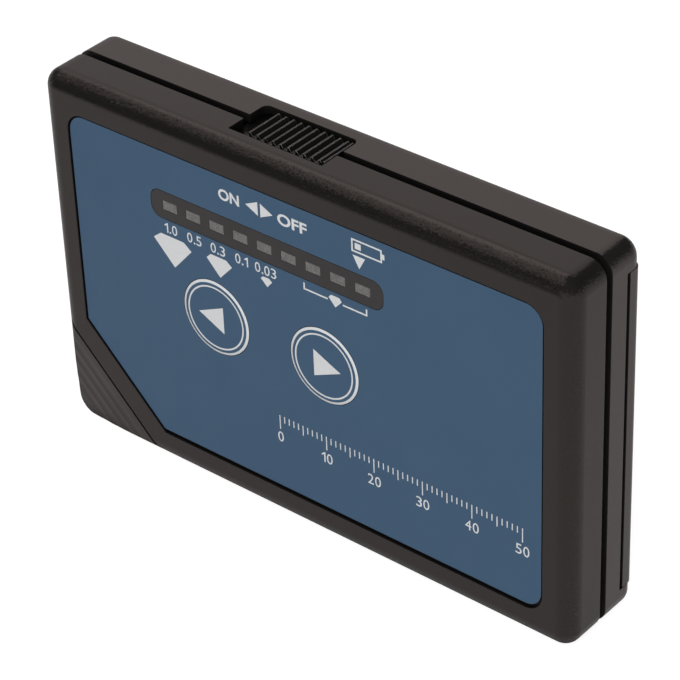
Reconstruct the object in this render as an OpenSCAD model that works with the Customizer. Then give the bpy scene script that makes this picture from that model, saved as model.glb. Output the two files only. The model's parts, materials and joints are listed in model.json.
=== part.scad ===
// Hand-held thermal diamond tester, standing on its long edge.
// X runs across the front, Z up the front, and the front faces -Y.
// The origin is under the middle of the case. Depths named t are measured back from the front rim.

/* [Case] */
// Width of the case across the front
case_w = 109; // [106:0.5:120]
// Height of the case
case_h = 70.5; // [69:0.5:80]
// Depth of the case, front to back
case_d = 17.2; // [17:0.1:20]
// Radius of the corners seen from the front
corner_r = 3.2; // [3.1:0.1:5]
// Rounding of the edges round the front face
front_round = 3; // [1:0.1:3]
// Rounding of the edges round the back face
back_round = 2.1; // [1:0.1:2.5]
// Thickness of the side and back walls
wall = 1.6; // [1.4:0.1:2]
// Thickness of the front wall behind the overlay
front_wall = 1.5; // [1.3:0.1:2]
// Depth of the front half, from its rim to the parting groove
front_depth = 8; // [7.6:0.1:9]
// Width of the parting groove
groove_w = 1.55; // [0.6:0.05:2]
// Thickness of the lip that bridges the groove from inside
lip_t = 0.8; // [0.6:0.1:1.2]
// Length of the lip inside the front half
lip_len = 2; // [1:0.1:3]

/* [Overlay] */
// Margin between the overlay and the sides of the case
overlay_side = 5.95; // [4.5:0.05:9]
// Margin between the overlay and the top and bottom of the case
overlay_end = 6.45; // [4.5:0.05:8]
// Distance from the overlay's slanted edge to the corner seam
overlay_cut = 4.75; // [3:0.05:8]
// Radius of the overlay's corners
overlay_r = 3.2; // [1:0.1:5]
// Thickness of the overlay sheet
overlay_t = 0.5; // [0.4:0.05:0.6]
// Depth of the overlay's face below the rim
overlay_drop = 0.2; // [0.15:0.05:0.3]

/* [Indicators] */
// Distance from one lamp to the next
led_pitch = 5.08; // [4.5:0.02:5.2]
// Width of a lamp's lens
led_w = 3; // [2:0.1:3.4]
// Height of a lamp's lens
led_h = 1.7; // [1.4:0.1:2.2]
// Length of a lamp's body behind its face
led_body = 3.4; // [2.5:0.1:4]
// Distance from the top of the case to the row of lamps
led_drop = 16.85; // [14:0.05:20]
// Gap between the row of lamps and the battery tray
led_room = 2; // [1:0.01:4]
// Length of the smoked window past the end lamps
window_end = 4.1; // [3:0.05:4.5]
// Height of the smoked window
window_h = 5.3; // [4:0.1:7]
// Radius of the smoked window's corners
window_r = 2; // [0.5:0.1:2]
// Thickness of the smoked window
window_t = 0.8; // [0.5:0.05:1]

/* [Keys] */
// Diameter of a key at the overlay
key_d = 14.2; // [12:0.1:16]
// Diameter of a key's raised top
key_top_d = 12.9; // [9:0.1:13.5]
// Height of a key above the overlay
key_rise = 0.18; // [0.1:0.02:0.2]
// Distance between the two keys
key_pitch = 23.2; // [20:0.1:26]
// Middle of the two keys, from the middle of the row of lamps
key_shift = 0.17; // [-2:0.01:2]
// Height of the keys above the bottom of the case
key_z = 35.55; // [33:0.05:38]
// Travel of a key
key_travel = 0.35; // [0.2:0.05:0.4]
// Diameter of the peg under a key
peg_d = 4; // [3:0.1:5]

/* [Power slider] */
// Length of the slot in the top
slot_l = 19.4; // [17:0.1:22]
// Distance from the slot's back edge to the back of the case
slot_back = 3.7; // [3.2:0.1:4.5]
// Middle of the slot, from the middle of the row of lamps
slot_shift = -0.2; // [-2:0.01:2]
// Depth of the slot's front edge behind the rim
slot_t = 4.2; // [4:0.1:4.8]
// Travel of the slider
slider_travel = 3.2; // [2:0.1:4]
// Gap between the slider's head and the long edges of the slot
slider_side = 1.05; // [0.4:0.05:1.5]
// Height of the slider's ridges above the top
slider_proud = 0; // [-0.2:0.1:0.8]
// Number of ridges across the slider
slider_ridges = 11; // [6:1:12]
// Width of a ridge's crest
ridge_w = 0.25; // [0.2:0.05:0.4]
// Height of the ridges
ridge_h = 0.7; // [0.3:0.1:1]
// Width of a ridge's sloping side
ridge_slope = 0.55; // [0.2:0.05:0.6]

/* [Corner cap] */
// Length of the cap along the left edge and the bottom
cap_leg = 22.15; // [20:0.05:25]
// Gap between the cap and the case
cap_gap = 0.55; // [0.3:0.05:0.6]
// Depth that the cap's face falls back at its corner
cap_fall = 2.2; // [1.5:0.1:3]
// Number of grip grooves on the cap
cap_grooves = 4; // [2:1:4]
// Distance from one grip groove to the next
cap_groove_pitch = 2.5; // [2.5:0.1:2.8]
// Depth of the grip grooves
cap_groove_d = 0.08; // [0.04:0.01:0.1]

/* [Probe] */
// Diameter of the probe's sleeve
sleeve_d = 9; // [8:0.1:9.5]
// Length of the sleeve inside the case
sleeve_in = 12; // [10:0.5:14]
// Length of the sleeve outside the case
sleeve_out = 3.2; // [2.5:0.1:3.5]
// Length of the metal nose in front of the sleeve
nose_l = 5; // [4:0.1:6]
// Diameter of the nose at its shoulder
nose_d = 7.2; // [6.4:0.1:7.4]
// Diameter of the nose at its end
nose_end_d = 2.6; // [2.2:0.1:3.5]
// Diameter of the contact tip
tip_d = 1.4; // [1:0.1:1.6]
// Length of the contact tip in front of the nose
tip_out = 2.2; // [1.8:0.1:2.5]
// Travel of the contact tip
tip_travel = 1.5; // [0.5:0.1:1.6]

/* [Batteries] */
// Space between the front wall and the cell tray
tray_gap = 1; // [0.8:0.1:1.4]
// Length of a cell with its button
cell_l = 44.5; // [43:0.1:45]
// Length of a fitted contact spring
spring_l = 4.2; // [3.6:0.1:5]
// Space between two cells
cell_space = 0.5; // [0.3:0.1:1]
// Thickness of the tray's walls
tray_wall = 1.2; // [1:0.1:1.5]

/* [Battery door] */
// Distance from the door's ends to the top and bottom of the case
door_end = 4.7; // [4.4:0.1:6]
// Thickness of the door
door_t = 1.8; // [1.7:0.1:2]
// Depth of the door's edge that wraps the side of the case
door_wrap = 3; // [2.9:0.1:3.4]
// Rounding of the door's back edge, smaller than the case's
door_round = 1.5; // [1:0.1:2]
// Width of the door's rails under the back wall
rail_lap = 1.05; // [0.8:0.05:1.5]
// Thickness of the door's rails
rail_t = 1.05; // [0.8:0.05:1.2]

/* [Circuit board] */
// Gap between the front wall and the board
board_gap = 4.8; // [4.6:0.1:5.2]
// Thickness of the board
board_t = 1.6; // [1:0.1:1.6]

/* [Fasteners] */
// Core diameter of the case screws
screw_d = 2.2; // [2:0.1:2.6]
// Diameter of the case screws' heads
screw_head_d = 4.6; // [4:0.1:4.8]
// Core diameter of the board screws
board_screw_d = 1.8; // [1.6:0.1:2.2]
// Diameter of the board screws' heads
board_head_d = 3.8; // [3.4:0.1:4.2]

/* [Hidden] */
$fn = 64;
seat_gap = 0.05;
fit = 0.1;
slide_gap = 0.15;
run_gap = 0.3;
cut = 1;
far = 300;

// Depths behind the rim
t_floor = overlay_drop + overlay_t;
t_inner = t_floor + front_wall;
t_board = t_inner + board_gap;
t_board_back = t_board + board_t;
t_back_rim = front_depth + groove_w;
t_back_in = case_d - wall;

// Corner seam: points with x + z under seam_c belong to the cap
seam_c = cap_leg - case_w / 2;
cap_tip = cap_leg / sqrt(2);

// Inside of the case
in_x = case_w / 2 - wall;
in_top = case_h - wall;
lip_in = wall + slide_gap + lip_t;
lip_root = 1.8;
inner_r = 0.5;
overlay_gap = 0.37;
overlay_sag = 0.35;

// Batteries, counted from the right; the depth of the case sets their diameter
cell_count = 3;
cell_lift = 0.2;
cell_d = case_d - door_t - run_gap - cell_lift - tray_wall - tray_gap - t_inner;
tray_x1 = case_w / 2 - lip_in;
cell_pitch = cell_d + cell_space;
function cell_x(i) = tray_x1 - run_gap - cell_d / 2 - i * cell_pitch;
tray_x0 = cell_x(cell_count - 1) - cell_d / 2 - run_gap;
t_door_in = case_d - door_t;
t_cell = t_door_in - run_gap - cell_d / 2;
t_tray = t_cell - cell_d / 2 - cell_lift;
plate_t = 0.4;
plate_side = 1.25;
plate_edge = 0.95;
plate_w = cell_d - 2 * plate_side;
plate_depth = cell_d - 2 * plate_edge;
bay_l = cell_l + spring_l + 2 * plate_t + fit;
bay_z0 = (case_h - bay_l) / 2;
bay_z1 = bay_z0 + bay_l;
tab_w = 2;
tab_l = 3;
lead_d = 1;
t_lead_board = t_board_back + lead_d / 2 + seat_gap;
lead_off = tab_w / 2 + lead_d / 2 + seat_gap;
lead_inset = 0.8;
lead_run = 3;
spring_side = 0.3;
spring_d = plate_w - 2 * spring_side;
spring_top_d = 4.4;
spring_wire = 0.6;
spring_turns = 3.5;
button_d = 3.8;
button_h = 1;
cell_edge = 0.5;

// Indicators
led_count = 9;
led_z = case_h - led_drop;
window_l = (led_count - 1) * led_pitch + 2 * window_end;
window_sink = 0.02;
t_window = overlay_drop + window_sink;
led_sink = 0.03;
led_flange = 0.8;
led_flange_lap = 0.4;
led_x = tray_x0 - tray_wall - led_room - led_flange_lap - (led_w + (led_count - 1) * led_pitch) / 2;
led_leg = 0.5;
led_leg_pitch = 2.54;

// Keys and their switches
key_x = led_x + key_shift;
t_key_top = overlay_drop - key_rise;
t_key_bottom = t_floor + run_gap;
t_well = t_key_bottom + key_travel + fit;
key_play = 0.2;
key_well_play = 0.4;
peg_play = 0.8;
stem_play = 0.4;
tact_w = 6;
tact_h = 3.4;
tact_stem_d = 3.4;
tact_stem_out = 0.95;
tact_hole = 1.4;
t_tact = t_board - tact_h;
t_stem = t_tact - tact_stem_out;

// Power slider
slot_x = led_x + slot_shift;
slot_w = case_d - slot_t - slot_back;
slider_end_gap = 0.3;
slider_l = slot_l - slider_travel - 2 * slider_end_gap;
slider_x = slot_x + slider_travel / 2;
slot_r = 1.2;
slider_t = slot_t + slot_w / 2;
slider_w = slot_w - 2 * slider_side;
ridge_end = 1.2;
flange_t = 1.1;
flange_side = 0.6;
flange_lap = 0.9;
flange_end = slider_travel + flange_lap;
flange_room = flange_side + run_gap;
flange_reach = slot_l / 2 + flange_end + cut;
slider_top = case_h + slider_proud;
flange_top = in_top - run_gap;
flange_bottom = flange_top - flange_t;
switch_w = 12;
switch_h = 6;
switch_t = 4.8;
switch_drop = 1.5;
switch_top = flange_bottom - switch_drop;
lever_w = 2;
lever_t = 1.6;
lever_in = 1.3;
fork_t = 1.2;
fork_w = 2.4;
fork_h = 1.2;
fork_x = (lever_w + fork_t) / 2 + fit;
t_lever = t_board_back + switch_t / 2;

// Probe
sleeve_bore = 5.2;
sleeve_flange_room = 0.4;
sleeve_flange_d = case_d - 2 * (t_inner + sleeve_flange_room);
sleeve_flange_t = 1.6;
flange_pocket = 5;
shield_l = 15;
shield_w = 9.4;
shield_t = 1;
nose_s = sleeve_out + seat_gap;
nose_band = 0.6;
nose_bore = 3.6;
collar_d = 3.2;
collar_t = 1;
nose_grip = 1.6;
nose_stem = collar_t + tip_travel + fit + nose_grip;
collar_s = sleeve_out - fit - collar_t;
tip_tail = 2;
probe_spring_d = 2.5;
probe_spring_wire = 0.4;
probe_spring_turns = 6;
probe_spring_l = 6.5;
plug_s = collar_s - probe_spring_l;
connector_w = 7.6;
connector_h = 2.6;
connector_l = 5.5;
connector_gap = 7.5;
connector_s = sleeve_in + connector_gap;
cap_groove_start = 3.3;
cap_groove_r = 7.5;
cap_angle = atan(cap_fall / cap_tip);
cap_step_d = nose_d * 0.85;
cap_tip_play = 1.4;
cap_tip_room = 1;

// Battery door
door_lap = 1.5;
door_x0 = tray_x0 - tray_wall - door_lap;
door_x1 = case_w / 2;
door_z0 = door_end;
door_z1 = case_h - door_end;
t_wrap = case_d - door_wrap;
t_rail = t_door_in - rail_t;
t_shelf = t_rail - slide_gap;
shelf_t = 1.3;
frame_lap = 1.3;
frame_x = door_x0 - frame_lap;
frame_wall = 1.2;
wrap_gap = 0.35;
wrap_reveal = 0.8;
rail_w = 3.2;
grip_count = 7;
grip_pitch = 1.4;
grip_w = 0.7;
grip_l = 16;
grip_d = 0.4;
grip_in = 14;
grip_x = door_x1 - grip_in;

// Fasteners: post places as [x, z]
boss_d = 7;
post_d = 6;
boss_x = frame_x - frame_wall - boss_d / 2 - run_gap;
boss_end = 6.4;
boss_corner = 6.5;
boss_seam = 3.5;
post_gap = 0.2;
screw_play = 0.6;
screw_head_play = 0.8;
t_boss = 9.2;
t_screw_seat = 12.8;
screw_head_h = 1.8;
posts = [
    [-case_w / 2 + boss_corner, case_h - boss_corner],
    [boss_x, case_h - boss_end],
    [boss_x, boss_end],
    [seam_c + boss_seam, boss_end]
];
board_post_d = 5;
board_screw_play = 0.4;
board_head_h = 1.3;
pilot_depth = 1;
screw_end = 1.4;
slot_share = 0.62;
slot_width_share = 0.18;

// Circuit board
board_room = 0.5;
board_side = 10.4;
board_x0 = -case_w / 2 + board_side;
board_x1 = tray_x0 - tray_wall - 2 * board_room;
board_z0 = boss_end + boss_d / 2 + board_room;
board_z1 = switch_top;
board_cut_room = 5;
board_cut = seam_c + (sleeve_in + board_cut_room) * sqrt(2);
board_notch_x = boss_x - boss_d / 2 - board_room;
board_notch_z = case_h - boss_end - boss_d / 2 - board_room;
board_post_in = 3.4;
board_post_drop = 8;
board_post_led = 7.55;
board_post_rise = 5.6;
board_post_cut = 7;
board_posts = [
    [board_x0 + board_post_in, board_z1 - board_post_drop],
    [board_x1 - board_post_in, led_z - board_post_led],
    [board_x1 - board_post_in, board_z0 + board_post_in],
    [board_cut - board_z0 - board_post_rise + board_post_cut, board_z0 + board_post_rise]
];

// Parts on the back of the board, placed as [x, z]
chip_w = 6.4;
chip_h = 3.2;
chip_lift = 0.5;
chip_pitch = 2.54;
pin_w = 0.6;
driver_pin_count = 18;
driver_l = 23;
driver_right = 0.3;
driver_up = 9.5;
driver_at = [key_x + driver_right, key_z + driver_up];
amplifier_pin_count = 14;
amplifier_l = 18;
amplifier_right = 3.3;
amplifier_down = 8.5;
amplifier_at = [key_x + amplifier_right, key_z - amplifier_down];
trimmer_w = 6.8;
trimmer_h = 3.8;
trimmer_slot = 0.8;
trimmer_in = 17;
trimmer_drop = 9;
trimmer_at = [board_x0 + trimmer_in, board_z1 - trimmer_drop];
capacitor_room = 1;
capacitor_d = t_back_in - t_board_back - capacitor_room;
capacitor_l = 11;
capacitor_in = 12.6;
capacitor_up = 6;
capacitor_at = [board_x1 - capacitor_in, board_z0 + capacitor_up];
buzzer_d = 12;
buzzer_room = 1.6;
buzzer_h = t_back_in - t_board_back - buzzer_room;
buzzer_hole = 2;
buzzer_edge = 0.4;
buzzer_in = 8;
buzzer_up = 8.5;
buzzer_at = [board_x0 + buzzer_in, key_z + buzzer_up];

function y_at(t) = t - case_d / 2;

// Extrudes an outline in X and Z from depth t0 to depth t1
module depth(t0, t1) {
    translate([0, y_at(t1), 0]) rotate([90, 0, 0]) linear_extrude(t1 - t0) children();
}

// Turns a profile of radius and depth about a line through the front at x, z
module turned(x, z) {
    translate([x, y_at(0), z]) rotate([-90, 0, 0]) rotate_extrude() children();
}

// Axis of the probe: +Z runs out through the middle of the slanted corner, Y stays as it is
module along_probe() {
    translate([(cap_leg - case_w) / 2, 0, cap_leg / 2]) rotate([0, 225, 0]) children();
}

module rect(x0, x1, z0, z1) {
    translate([x0, z0]) square([x1 - x0, z1 - z0]);
}

module rounded_rect(x0, x1, z0, z1, r) {
    rect(x0 + r, x1 - r, z0, z1);
    rect(x0, x1, z0 + r, z1 - r);
    for (x = [x0 + r, x1 - r], z = [z0 + r, z1 - r]) translate([x, z]) circle(r);
}

// Everything on the cap's side of a line parallel to the corner seam
module below_line(c) {
    polygon([[-far, c + far], [c + far, -far], [-far, -far]]);
}

// Outline of the case set in by a distance, with the slanted corner
module outline(inset) {
    difference() {
        rounded_rect(-case_w / 2 + inset, case_w / 2 - inset, inset, case_h - inset,
            max(corner_r - inset, inner_r));
        below_line(seam_c + inset * sqrt(2));
    }
}

// Section across the case, with the front and back edges rounded
module edge_section(len, back_r) {
    rect(0, len, front_round, case_d - back_r);
    rect(front_round, len - front_round, 0, case_d / 2);
    rect(back_r, len - back_r, case_d / 2, case_d);
    for (a = [front_round, len - front_round]) translate([a, front_round]) circle(front_round);
    for (a = [back_r, len - back_r]) translate([a, case_d - back_r]) circle(back_r);
}

// Outer form of the whole case: straight edges swept, corners turned
module case_form(back_r = back_round) {
    front = y_at(0);
    translate([case_w / 2 - corner_r, front, 0]) rotate([0, -90, 0])
        linear_extrude(case_w - 2 * corner_r) edge_section(case_h, back_r);
    translate([-case_w / 2, front, corner_r])
        linear_extrude(case_h - 2 * corner_r) edge_section(case_w, back_r);
    for (x = [-case_w / 2 + corner_r, case_w / 2 - corner_r], z = [corner_r, case_h - corner_r])
        turned(x, z) intersection() {
            square([corner_r, case_d]);
            translate([-corner_r, 0]) edge_section(2 * corner_r, back_r);
        }
}

// The part of the case form between two depths, without the cap's corner
module half_form(t0, t1) {
    intersection() {
        case_form();
        depth(t0, t1) difference() {
            rect(-case_w, case_w, -case_h, 2 * case_h);
            below_line(seam_c);
        }
    }
}

// Outline of the sheet, or of its recess, which has a gap all round and a little more room below
module overlay_outline(gap, sag = 0) {
    difference() {
        rounded_rect(-case_w / 2 + overlay_side - gap, case_w / 2 - overlay_side + gap,
            overlay_end - gap - sag, case_h - overlay_end + gap, overlay_r + gap);
        below_line(seam_c + (overlay_cut - gap) * sqrt(2));
    }
}

module window_outline(gap) {
    rounded_rect(led_x - window_l / 2 - gap, led_x + window_l / 2 + gap,
        led_z - window_h / 2 - gap, led_z + window_h / 2 + gap, window_r + gap);
}

function led_place(i) = led_x + (i - (led_count + 1) / 2) * led_pitch;
function key_place(side) = key_x + side * key_pitch / 2;

module led_openings(gap) {
    for (i = [1 : led_count]) rect(led_place(i) - led_w / 2 - gap, led_place(i) + led_w / 2 + gap,
        led_z - led_h / 2 - gap, led_z + led_h / 2 + gap);
}

module key_circles(d) {
    for (side = [-1, 1]) translate([key_place(side), key_z]) circle(d = d);
}

module spots(places, d) {
    for (p = places) translate(p) circle(d = d);
}

// Opening in the top for the slider: square at the front, rounded at the back
module slider_slot() {
    x0 = slot_x - slot_l / 2;
    x1 = slot_x + slot_l / 2;
    translate([0, 0, in_top - cut]) linear_extrude(wall + 2 * cut) {
        rounded_rect(x0, x1, y_at(slot_t), y_at(slot_t + slot_w), slot_r);
        rect(x0, x1, y_at(slot_t), y_at(front_depth));
    }
}

module probe_hole() {
    along_probe() translate([0, 0, -wall - cut]) cylinder(d = sleeve_d + 2 * fit, h = wall + 2 * cut);
}

// Front half: a tray with the overlay's recess, key wells, lamp openings and posts
module front_shell() color("#262423") difference() {
    union() {
        difference() {
            half_form(-cut, front_depth);
            depth(t_inner, front_depth + cut) outline(wall);
        }
        depth(t_inner - fit, t_boss - post_gap) spots(posts, post_d);
        depth(t_inner - fit, t_board) spots(board_posts, board_post_d);
    }
    depth(-cut, t_floor) overlay_outline(overlay_gap, overlay_sag);
    depth(0, t_window + window_t) window_outline(fit);
    depth(0, t_inner + cut) led_openings(slide_gap);
    depth(0, t_well) key_circles(key_d + key_well_play);
    depth(0, t_inner + cut) key_circles(peg_d + peg_play);
    depth(t_inner + pilot_depth, t_boss) spots(posts, screw_d + 2 * fit);
    depth(t_inner + pilot_depth, t_board + cut) spots(board_posts, board_screw_d + fit);
    slider_slot();
    probe_hole();
}

// Frame and shelf round the battery door, inside the back wall
module door_frame() {
    depth(t_shelf - shelf_t, t_back_in + fit) difference() {
        rect(frame_x - frame_wall, in_x + fit, door_z0 - frame_wall, door_z1 + frame_wall);
        rect(frame_x, case_w, door_z0, door_z1);
    }
    depth(t_shelf - shelf_t, t_shelf) rect(frame_x - frame_wall, in_x + fit, door_z0 - fit, door_z1 + fit);
}

// Slots in the tray's end walls for the tabs of the two free terminals
module tab_slots() {
    for (p = [[cell_x(cell_count - 1), bay_z1], [cell_x(0), bay_z0 - tray_wall]])
        depth(t_cell - plate_t - fit, t_cell + plate_t + fit)
            rect(p.x - tab_w / 2 - fit, p.x + tab_w / 2 + fit, p.y - fit, p.y + tray_wall + fit);
}

// Back half: lip, battery tray, door opening and screw bosses
module back_shell() color("#262423") difference() {
    union() {
        difference() {
            half_form(t_back_rim, case_d + cut);
            depth(t_back_rim - cut, t_back_in) outline(wall);
        }
        depth(t_back_rim, t_back_rim + lip_root) difference() {
            outline(wall - fit);
            outline(lip_in);
        }
        depth(front_depth - lip_len, t_back_rim + fit) difference() {
            outline(wall + slide_gap);
            outline(lip_in);
        }
        door_frame();
        depth(t_tray - tray_wall, t_shelf) rect(tray_x0 - tray_wall, tray_x1 + lip_t,
            bay_z0 - tray_wall, bay_z1 + tray_wall);
        depth(t_boss, t_back_in + fit) spots(posts, boss_d);
    }
    depth(t_tray, case_d + cut) rect(tray_x0, tray_x1, bay_z0, bay_z1);
    depth(t_back_in - fit, case_d + cut) rect(door_x0, case_w, door_z0 + rail_lap, door_z1 - rail_lap);
    depth(t_wrap - wrap_reveal, case_d + cut) rect(in_x - slide_gap, case_w, door_z0, door_z1);
    depth(t_boss - cut, case_d + cut) spots(posts, screw_d + screw_play);
    depth(t_screw_seat, case_d + cut) spots(posts, screw_head_d + screw_head_play);
    slider_slot();
    depth(front_depth - lip_len - cut, slot_t + slot_w + flange_room)
        rect(slot_x - flange_reach, slot_x + flange_reach, flange_bottom - cut, in_top);
    probe_hole();
    along_probe() translate([0, 0, -wall - flange_pocket])
        cylinder(d = sleeve_flange_d + 2 * run_gap, h = flange_pocket);
    tab_slots();
}

// Printed sheet in the front recess, with round openings for the keys
module overlay_panel() color("#445a70") depth(overlay_drop, t_floor) difference() {
    overlay_outline(0);
    window_outline(fit);
    key_circles(key_d + key_play);
}

// Smoked strip with one opening per lamp
module indicator_window() color("#413d3d") depth(t_window, t_window + window_t) difference() {
    window_outline(0);
    led_openings(seat_gap);
}

// Rectangular lamp: lens, flange and two legs down to the board
module led(i) color("#6b6969") {
    x = led_place(i);
    t_face = t_window + led_sink;
    t_flange = t_face + led_body;
    depth(t_face, t_flange) rect(x - led_w / 2, x + led_w / 2, led_z - led_h / 2, led_z + led_h / 2);
    depth(t_flange, t_flange + led_flange) translate([x, led_z])
        square([led_w + 2 * led_flange_lap, led_h + 2 * led_flange_lap], center = true);
    depth(t_flange + led_flange, t_board) for (side = [-1, 1])
        translate([x + side * led_leg_pitch / 2, led_z]) square(led_leg, center = true);
}

module circuit_board() color("#2c6b3c") depth(t_board, t_board_back) difference() {
    rect(board_x0, board_x1, board_z0, board_z1);
    below_line(board_cut);
    rect(board_notch_x, case_w, board_notch_z, case_h);
    spots(board_posts, board_screw_d + board_screw_play);
}

// Body of a push switch under a key
module tact_switch(side) color("#1d1d1f") difference() {
    depth(t_tact, t_board) translate([key_place(side), key_z]) square(tact_w, center = true);
    depth(t_tact - cut, t_tact + tact_hole) translate([key_place(side), key_z])
        circle(d = tact_stem_d + stem_play);
}

module tact_stem(side) color("#8a8680") depth(t_stem, t_tact + tact_hole - key_travel - fit)
    translate([key_place(side), key_z]) circle(d = tact_stem_d);

// Key: a low embossed button with a peg that reaches its switch
module key(side) color("#445a70") turned(key_place(side), key_z) polygon([
    [0, t_key_top],
    [key_top_d / 2, t_key_top],
    [key_d / 2, overlay_drop],
    [key_d / 2, t_key_bottom],
    [peg_d / 2, t_key_bottom],
    [peg_d / 2, t_stem],
    [0, t_stem]
]);

// Slider: ridged head in the slot, flange under the top wall and a fork for the switch lever
module power_slider() color("#141313") {
    x0 = slider_x - slider_l / 2;
    pitch = (slider_l - ridge_end) / (slider_ridges - 2);
    difference() {
        translate([x0, y_at(slider_t - slider_w / 2), flange_top - fit])
            cube([slider_l, slider_w, slider_top - flange_top + fit]);
        for (i = [0 : slider_ridges - 2]) {
            crest = x0 + i * pitch + ridge_w;
            wall_x = i < slider_ridges - 2 ? x0 + (i + 1) * pitch : x0 + slider_l - ridge_w;
            translate([0, case_d / 2, slider_top]) rotate([90, 0, 0]) linear_extrude(case_d) polygon([
                [crest, 0],
                [crest + ridge_slope, -ridge_h],
                [wall_x, -ridge_h],
                [wall_x, cut],
                [crest, cut]
            ]);
        }
    }
    translate([x0 - flange_end, y_at(slot_t - flange_side), flange_bottom])
        cube([slider_l + 2 * flange_end, slot_w + 2 * flange_side, flange_t]);
    for (side = [-1, 1])
        translate([slider_x + side * fork_x, y_at(t_lever), flange_bottom - fork_h / 2])
            cube([fork_t, fork_w, fork_h + 2 * fit], center = true);
}

module switch_lever() color("#d8d4c8")
    translate([slider_x - lever_w / 2, y_at(t_lever - lever_t / 2), switch_top - lever_in])
        cube([lever_w, lever_t, flange_bottom - switch_top + lever_in - fit]);

module slide_switch_body() color("#9a9b9d") difference() {
    translate([slot_x - switch_w / 2, y_at(t_board_back), switch_top - switch_h])
        cube([switch_w, switch_t, switch_h]);
    translate([slot_x, y_at(t_lever), switch_top])
        cube([slider_travel + lever_w, lever_t, 2 * lever_in] + 2 * run_gap * [1, 1, 1], center = true);
}

// Chip with two rows of legs on the back of the board
module chip(place, len, pins) color("#222224") {
    row = pins / 2;
    depth(t_board_back + chip_lift, t_board_back + chip_lift + chip_h)
        translate(place) square([len, chip_w], center = true);
    for (i = [0 : row - 1], side = [-1, 1])
        depth(t_board_back, t_board_back + chip_lift + chip_h / 2)
            translate(place + [(i - (row - 1) / 2) * chip_pitch, side * (chip_w + pin_w) / 2])
                square(pin_w, center = true);
}

module trimmer() color("#2f62a8") difference() {
    depth(t_board_back, t_board_back + trimmer_h) translate(trimmer_at) square(trimmer_w, center = true);
    depth(t_board_back + trimmer_h - trimmer_slot, t_board_back + trimmer_h + cut) translate(trimmer_at)
        circle(d = trimmer_w / 2);
}

module filter_capacitor() color("#24354f")
    translate([capacitor_at.x, y_at(t_board_back + capacitor_d / 2 + seat_gap), capacitor_at.y])
        rotate([0, 90, 0]) cylinder(d = capacitor_d, h = capacitor_l, center = true);

module buzzer() color("#1a1a1a") turned(buzzer_at.x, buzzer_at.y) polygon([
    [buzzer_hole / 2, t_board_back],
    [buzzer_d / 2, t_board_back],
    [buzzer_d / 2, t_board_back + buzzer_h - buzzer_edge],
    [buzzer_d / 2 - buzzer_edge, t_board_back + buzzer_h],
    [buzzer_hole / 2, t_board_back + buzzer_h]
]);

module probe_connector() color("#e4e0d4") along_probe()
    translate([-connector_w / 2, y_at(t_board_back), -connector_s - connector_l])
        cube([connector_w, connector_h, connector_l]);

// Cell standing on its flat end; every other one is turned over
module battery_cell(i) color("#3f6f4c") {
    r = cell_d / 2;
    shoulder = cell_l - button_h;
    turned_over = i % 2;
    z = turned_over == 1 ? bay_z1 - plate_t - spring_l : bay_z0 + plate_t + spring_l;
    translate([cell_x(i), y_at(t_cell), z]) rotate([turned_over * 180, 0, 0]) rotate_extrude() polygon([
        [0, 0],
        [r - cell_edge, 0],
        [r, cell_edge],
        [r, shoulder - cell_edge],
        [r - cell_edge, shoulder],
        [button_d / 2, shoulder],
        [button_d / 2, cell_l],
        [0, cell_l]
    ]);
}

// Contact plate against an end wall of the tray, from the middle of one cell to another
module contact_plate(from_x, to_x, z) {
    depth(t_cell - plate_depth / 2, t_cell + plate_depth / 2)
        rect(min(from_x, to_x) - plate_w / 2, max(from_x, to_x) + plate_w / 2, z, z + plate_t);
}

module contact_tab(x, z0, z1) {
    depth(t_cell - plate_t / 2, t_cell + plate_t / 2) rect(x - tab_w / 2, x + tab_w / 2, z0, z1);
}

module positive_terminal() color("#c9c5bb") {
    x = cell_x(cell_count - 1);
    contact_plate(x, x, bay_z1 - plate_t);
    contact_tab(x, bay_z1 - plate_t, bay_z1 + tab_l);
}

module negative_terminal() color("#c9c5bb") {
    x = cell_x(0);
    contact_plate(x, x, bay_z0);
    contact_tab(x, bay_z0 - tab_l, bay_z0 + plate_t);
}

module top_bridge() color("#c9c5bb") contact_plate(cell_x(0), cell_x(1), bay_z1 - plate_t);
module bottom_bridge() color("#c9c5bb") contact_plate(cell_x(1), cell_x(2), bay_z0);

// Middle line of a coil that narrows from radius r0 to r1 as it rises
coil_rings = 8;
coil_sides = 6;
function coil_at(k, turns, len, r0, r1) =
    let (u = k / (turns * coil_rings), a = 360 * k / coil_rings, r = r0 + (r1 - r0) * u)
    [r * cos(a), r * sin(a), len * u];
function coil_gap(turns, len, r0, r1, wire) = min([
    for (k = [0 : (turns - 1) * coil_rings])
        norm(coil_at(k, turns, len, r0, r1) - coil_at(k + coil_rings, turns, len, r0, r1)) - wire
]);

// Round wire swept along a coil, as one closed tube
module coil(turns, len, r0, r1, wire) {
    last = turns * coil_rings;
    points = [
        for (k = [0 : last], j = [0 : coil_sides - 1])
            let (c = coil_at(k, turns, len, r0, r1), a = 360 * k / coil_rings, b = 360 * j / coil_sides)
            c + wire / 2 * [cos(a) * cos(b), sin(a) * cos(b), sin(b)]
    ];
    function at(k, j) = k * coil_sides + j % coil_sides;
    sides = [
        for (k = [0 : last - 1], j = [0 : coil_sides - 1], half = [0, 1])
            half == 0
                ? [at(k, j), at(k, j + 1), at(k + 1, j + 1)]
                : [at(k, j), at(k + 1, j + 1), at(k + 1, j)]
    ];
    start = [for (j = [1 : coil_sides - 2]) [at(0, 0), at(0, j + 1), at(0, j)]];
    end = [for (j = [1 : coil_sides - 2]) [at(last, 0), at(last, j), at(last, j + 1)]];
    polyhedron(points, concat(sides, start, end));
}

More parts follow.
